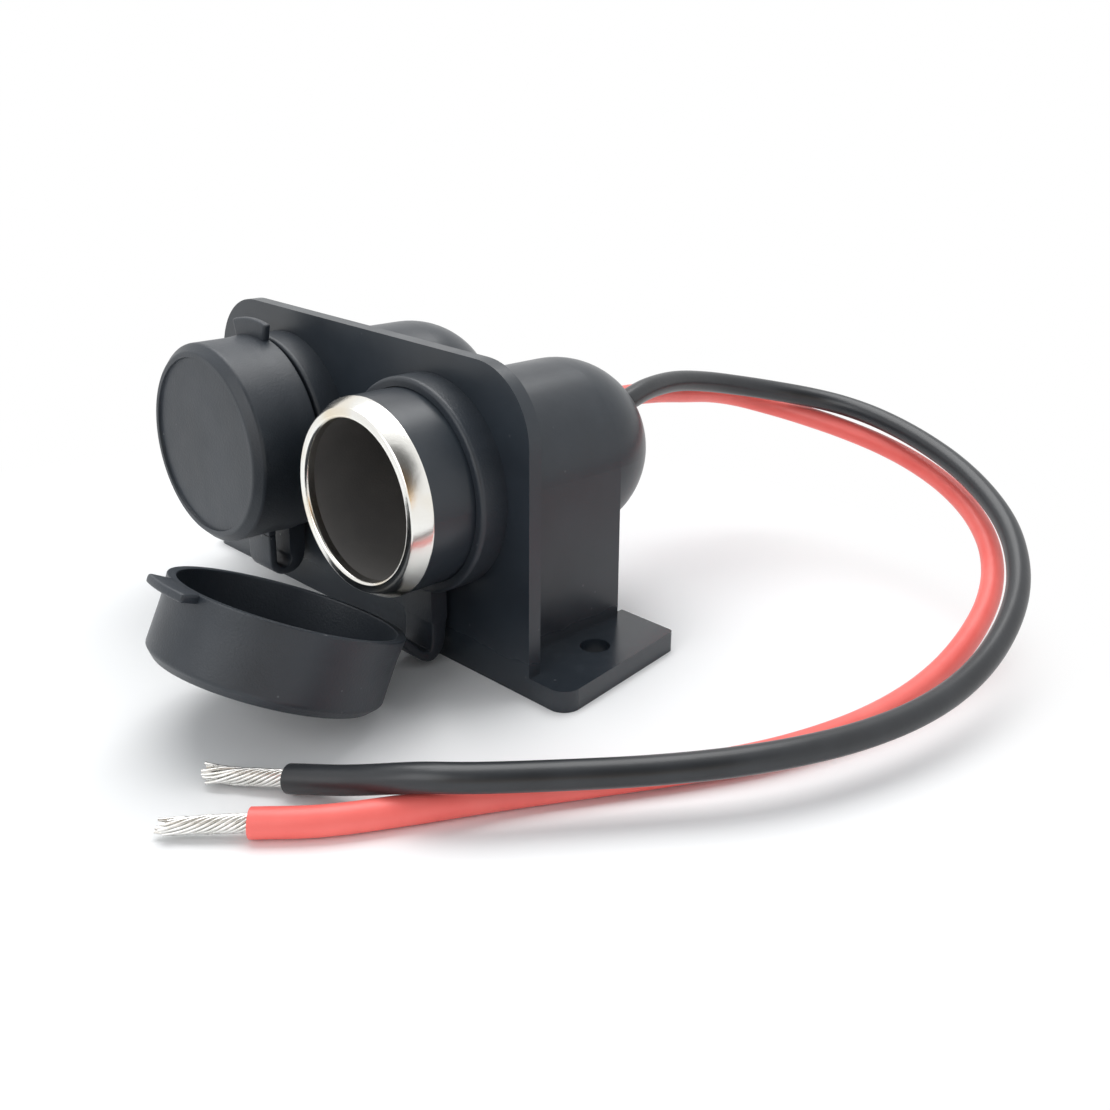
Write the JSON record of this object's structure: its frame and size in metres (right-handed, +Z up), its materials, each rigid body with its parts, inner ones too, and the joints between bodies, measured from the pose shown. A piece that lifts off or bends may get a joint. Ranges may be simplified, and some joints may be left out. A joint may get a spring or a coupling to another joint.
{
  "type": "car 12v power socket",
  "caption": "Twin accessory socket in a surface-mount housing with hinged caps and bare-ended leads.",
  "frame": {"origin": "midway between the two foot screw holes, on the plane that the feet stand on", "axes": "+X along the front plate, +Y towards the back of the sockets, +Z up"},
  "size_m": [0.1249, 0.1293, 0.044],
  "materials": {
    "black_plastic": "fine matte moulding",
    "black_rubber": "satin soft plastic",
    "nickel": "bright nickel plate",
    "terminal_metal": "tinned steel",
    "brass": "plain",
    "hardboard": "brown insulating board",
    "lead_black": "satin insulation",
    "lead_red": "satin insulation",
    "tinned_copper": "tinned strands"
  },
  "bodies": {
    "base": {"housing": "black_plastic", "sleeve_left": "nickel", "sleeve_right": "nickel", "insulator_left": "hardboard", "insulator_right": "hardboard", "contact_left": "brass", "contact_right": "brass", "live_tab_left": "terminal_metal", "live_tab_right": "terminal_metal", "earth_tab_left": "terminal_metal", "earth_tab_right": "terminal_metal", "collar_left": "black_rubber", "collar_right": "black_rubber", "strap_left": "black_rubber", "strap_right": "black_rubber", "lead_black": "lead_black", "lead_red": "lead_red", "strands_black": "tinned_copper", "strands_red": "tinned_copper", "link_black": "lead_black", "link_red": "lead_red"},
    "left_cap": {"cap_left": "black_rubber"},
    "right_cap": {"cap_right": "black_rubber"}
  },
  "joints": [
    {"name": "left_cap_hinge", "type": "hinge", "parent": "base", "child": "left_cap", "pos_m": [-0.01725, -0.0181, 0.00612], "axis": [1, 0, 0], "range_deg": [0, 65], "deforming": ["strap_left"]},
    {"name": "right_cap_hinge", "type": "hinge", "parent": "base", "child": "right_cap", "pos_m": [0.01725, -0.0181, 0.00612], "axis": [1, 0, 0], "range_deg": [-65, 0], "deforming": ["strap_right"]}
  ]
}
